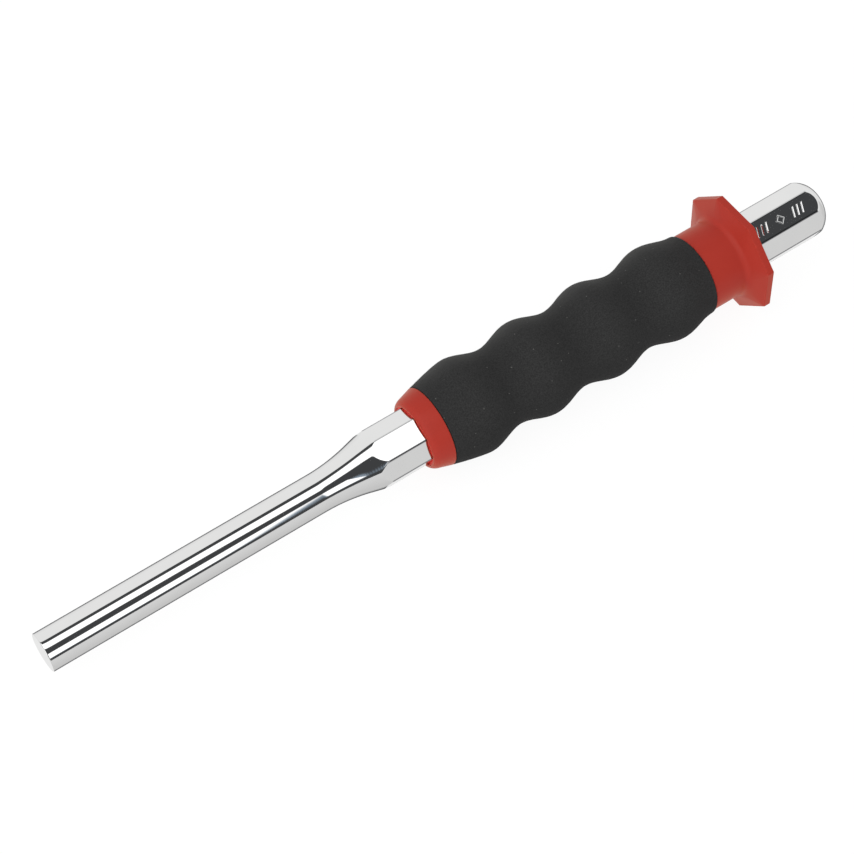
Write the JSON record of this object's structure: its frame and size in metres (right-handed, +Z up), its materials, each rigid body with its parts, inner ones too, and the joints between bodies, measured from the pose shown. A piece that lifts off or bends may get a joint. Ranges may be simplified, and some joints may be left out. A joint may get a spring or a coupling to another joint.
{
  "type": "sheathed parallel pin punch",
  "caption": "Steel pin punch: a parallel pin on an octagonal bar, held in a moulded sleeve with a hand guard and a waved foam grip, for driving pins out with a hammer.",
  "frame": {"origin": "centre of the flat working face at the pin's tip", "axes": "+X along the tool's axis from the tip to the struck head, +Z up with one flat of the guard facing down"},
  "size_m": [0.2278, 0.0304, 0.0304],
  "materials": {
    "polished_steel": "bright polished, plated",
    "red_plastic": "moulded, soft satin",
    "black_foam": "fine closed-cell foam, matt"
  },
  "bodies": {
    "root": {"punch_bar": "polished_steel", "handle_sleeve": "red_plastic", "foam_grip": "black_foam"}
  },
  "joints": []
}
